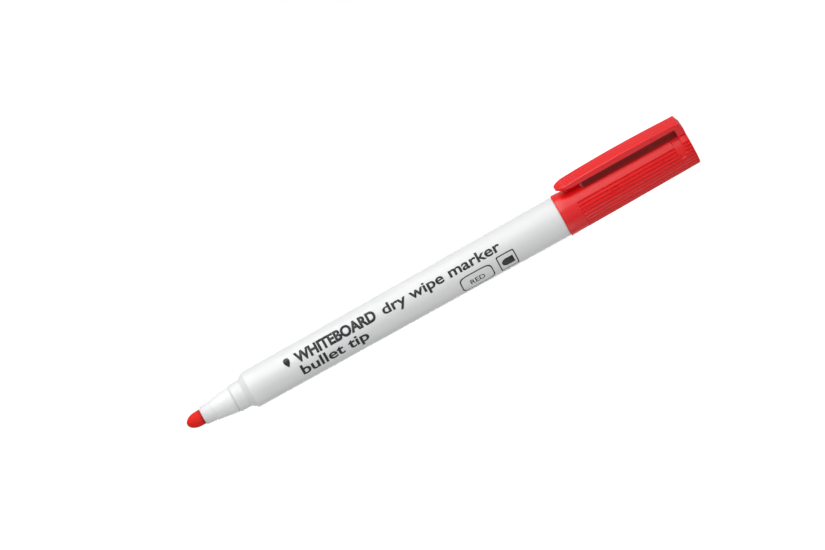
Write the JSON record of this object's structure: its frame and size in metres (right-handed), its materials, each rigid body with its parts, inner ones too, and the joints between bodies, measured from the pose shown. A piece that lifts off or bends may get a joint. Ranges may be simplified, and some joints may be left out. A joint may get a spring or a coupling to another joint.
{
  "type": "whiteboard marker",
  "caption": "Slim dry-wipe marker with a white tapered barrel, a red bullet nib, and a grooved red cap with a pocket clip posted on the rear end.",
  "frame": {"origin": "centre of the cap's flat end face, on the axis of the marker", "axes": "+Z along the axis from the cap's end to the nib, +X from the axis to the clip, +Y completes a right-handed frame"},
  "size_m": [0.0151, 0.0118, 0.1521],
  "materials": {
    "barrel_plastic": "satin white polypropylene",
    "nose_plastic": "natural polypropylene, slightly translucent",
    "cap_plastic": "semi-gloss red polypropylene",
    "seal_plastic": "natural polyethylene",
    "plug_plastic": "semi-gloss red polypropylene",
    "nib_fibre": "pressed fibre soaked in red ink",
    "core_fibre": "bonded fibre soaked in red ink",
    "film_plastic": "thin clear film"
  },
  "bodies": {
    "cap": {"cap_shell": "cap_plastic", "seal_cup": "seal_plastic"},
    "clip": {"clip": "cap_plastic"},
    "barrel": {"barrel": "barrel_plastic", "nose_section": "nose_plastic", "nib": "nib_fibre", "ink_reservoir": "core_fibre", "reservoir_film": "film_plastic", "end_plug": "plug_plastic"}
  },
  "joints": [
    {"name": "barrel_pull", "type": "slide", "parent": "cap", "child": "barrel", "axis": [0, 0, 1], "range_m": [0, 0.05]},
    {"name": "clip_flex", "type": "hinge", "parent": "cap", "child": "clip", "pos_m": [0.00815, 0, 0.0033], "axis": [0, 1, 0], "range_deg": [0, 5], "stiffness_Nm_per_rad": 0.2}
  ]
}
